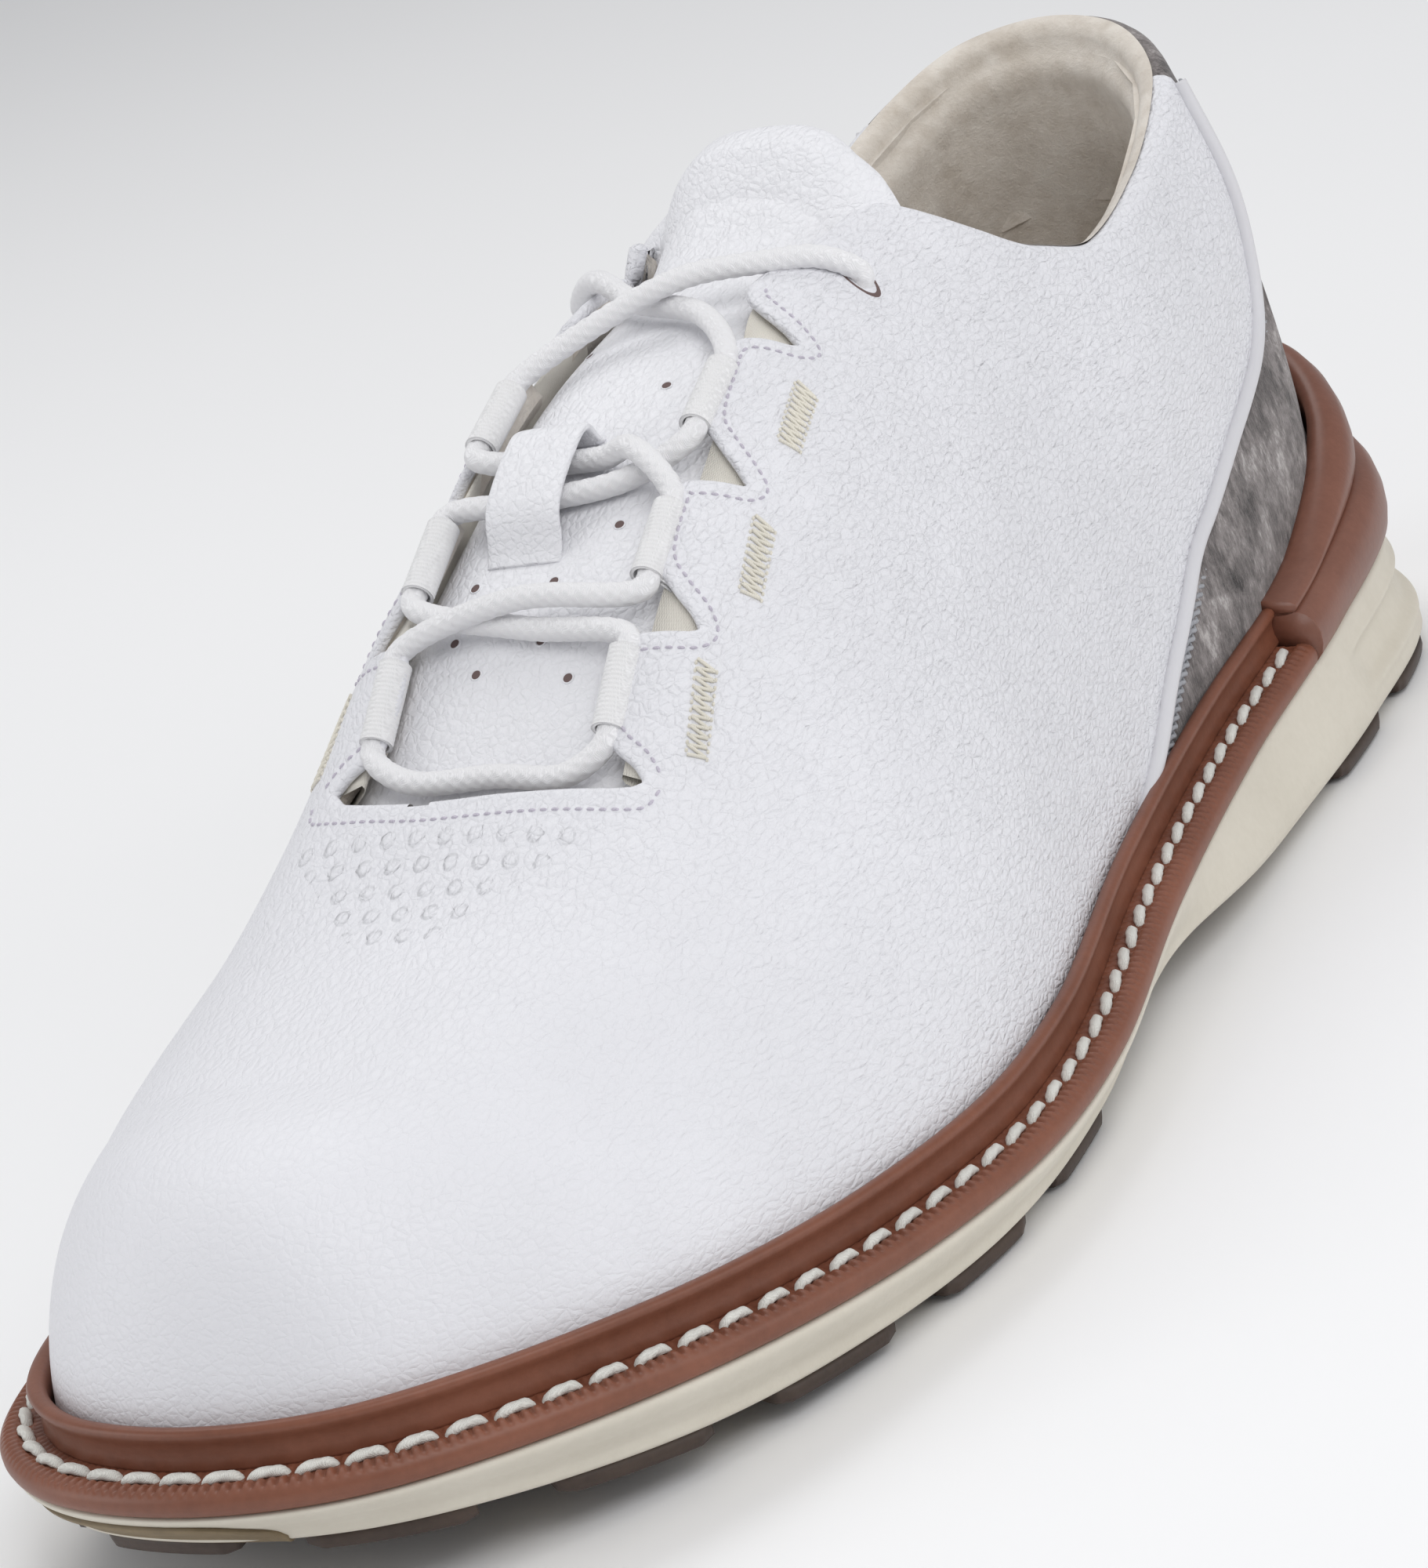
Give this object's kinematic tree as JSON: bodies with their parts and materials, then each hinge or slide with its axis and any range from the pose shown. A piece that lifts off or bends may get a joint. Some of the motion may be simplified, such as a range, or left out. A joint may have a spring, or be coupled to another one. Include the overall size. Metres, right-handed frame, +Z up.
{
  "type": "golf shoe",
  "caption": "Left lace-up spikeless golf shoe: white leather upper, suede heel patch, brown stitched welt and heel cup, cream midsole, flexing forefoot.",
  "frame": {"origin": "centre of the shoe's footprint box, on the ground", "axes": "+Z up, -Y towards the toe, +Y towards the heel, +X towards the outer (lateral) side of the left foot"},
  "size_m": [0.1154, 0.3014, 0.1176],
  "materials": {
    "white_leather": "pebbled full grain, satin",
    "suede": "brushed nap, matt",
    "brown_rubber": "satin moulded",
    "midsole_foam": "moulded foam, matt",
    "tread_rubber": "matt moulded",
    "thread": "twisted thread",
    "piping_cord": "smooth covered cord",
    "hard_plastic": "clear gloss",
    "stiffener_board": "matt sheet",
    "shank_steel": "rolled strip",
    "board_and_filler": "pressed fibre",
    "insole_cover": "brushed textile over foam",
    "lace_cord": "braided",
    "webbing": "ribbed webbing",
    "lining_textile": "soft microfibre"
  },
  "bodies": {
    "rearfoot": {"aglet_lateral": "hard_plastic", "aglet_medial": "hard_plastic", "bar_tack_lateral_1": "thread", "bar_tack_lateral_2": "thread", "bar_tack_lateral_3": "thread", "bar_tack_medial_1": "thread", "bar_tack_medial_2": "thread", "bar_tack_medial_3": "thread", "collar_lining": "lining_textile", "collar_padding": "lining_textile", "eyestay_lateral": "webbing", "eyestay_medial": "webbing", "filler_rear": "board_and_filler", "heel_counter": "stiffener_board", "heel_cup_lower": "brown_rubber", "heel_cup_upper": "brown_rubber", "heel_patch": "suede", "insole_board_rear": "board_and_filler", "insole_rear": "insole_cover", "lace": "lace_cord", "lace_loop_lateral_1": "webbing", "lace_loop_lateral_2": "webbing", "lace_loop_lateral_3": "webbing", "lace_loop_medial_1": "webbing", "lace_loop_medial_2": "webbing", "lace_loop_medial_3": "webbing", "midsole_heel_and_arch": "midsole_foam", "outsole_arch": "midsole_foam", "outsole_ball": "tread_rubber", "outsole_heel": "tread_rubber", "piping_lateral": "piping_cord", "piping_medial": "piping_cord", "quarter_lining": "lining_textile", "rand_rear_lateral": "brown_rubber", "rand_rear_medial": "brown_rubber", "shank": "shank_steel", "tongue": "white_leather", "tongue_keeper": "white_leather", "tongue_lining": "lining_textile", "vamp_and_quarters": "white_leather", "vamp_flex_zone": "white_leather", "welt_rear_lateral": "brown_rubber", "welt_rear_medial": "brown_rubber", "welt_thread_lateral": "thread", "welt_thread_medial": "thread"},
    "forefoot": {"midsole_forefoot": "midsole_foam", "outsole_toe": "tread_rubber", "welt_toe": "brown_rubber", "rand_toe": "brown_rubber", "welt_thread_toe": "thread", "filler_toe": "board_and_filler", "insole_board_toe": "board_and_filler", "insole_toe": "insole_cover", "vamp_toe": "white_leather", "vamp_lining": "lining_textile", "toe_puff": "stiffener_board"}
  },
  "joints": [
    {"name": "forefoot_flex", "type": "hinge", "parent": "rearfoot", "child": "forefoot", "pos_m": [0, -0.0769, 0.0205], "axis": [-1, 0, 0], "range_deg": [0, 25], "stiffness_Nm_per_rad": 9, "deforming": ["vamp_flex_zone"]}
  ]
}
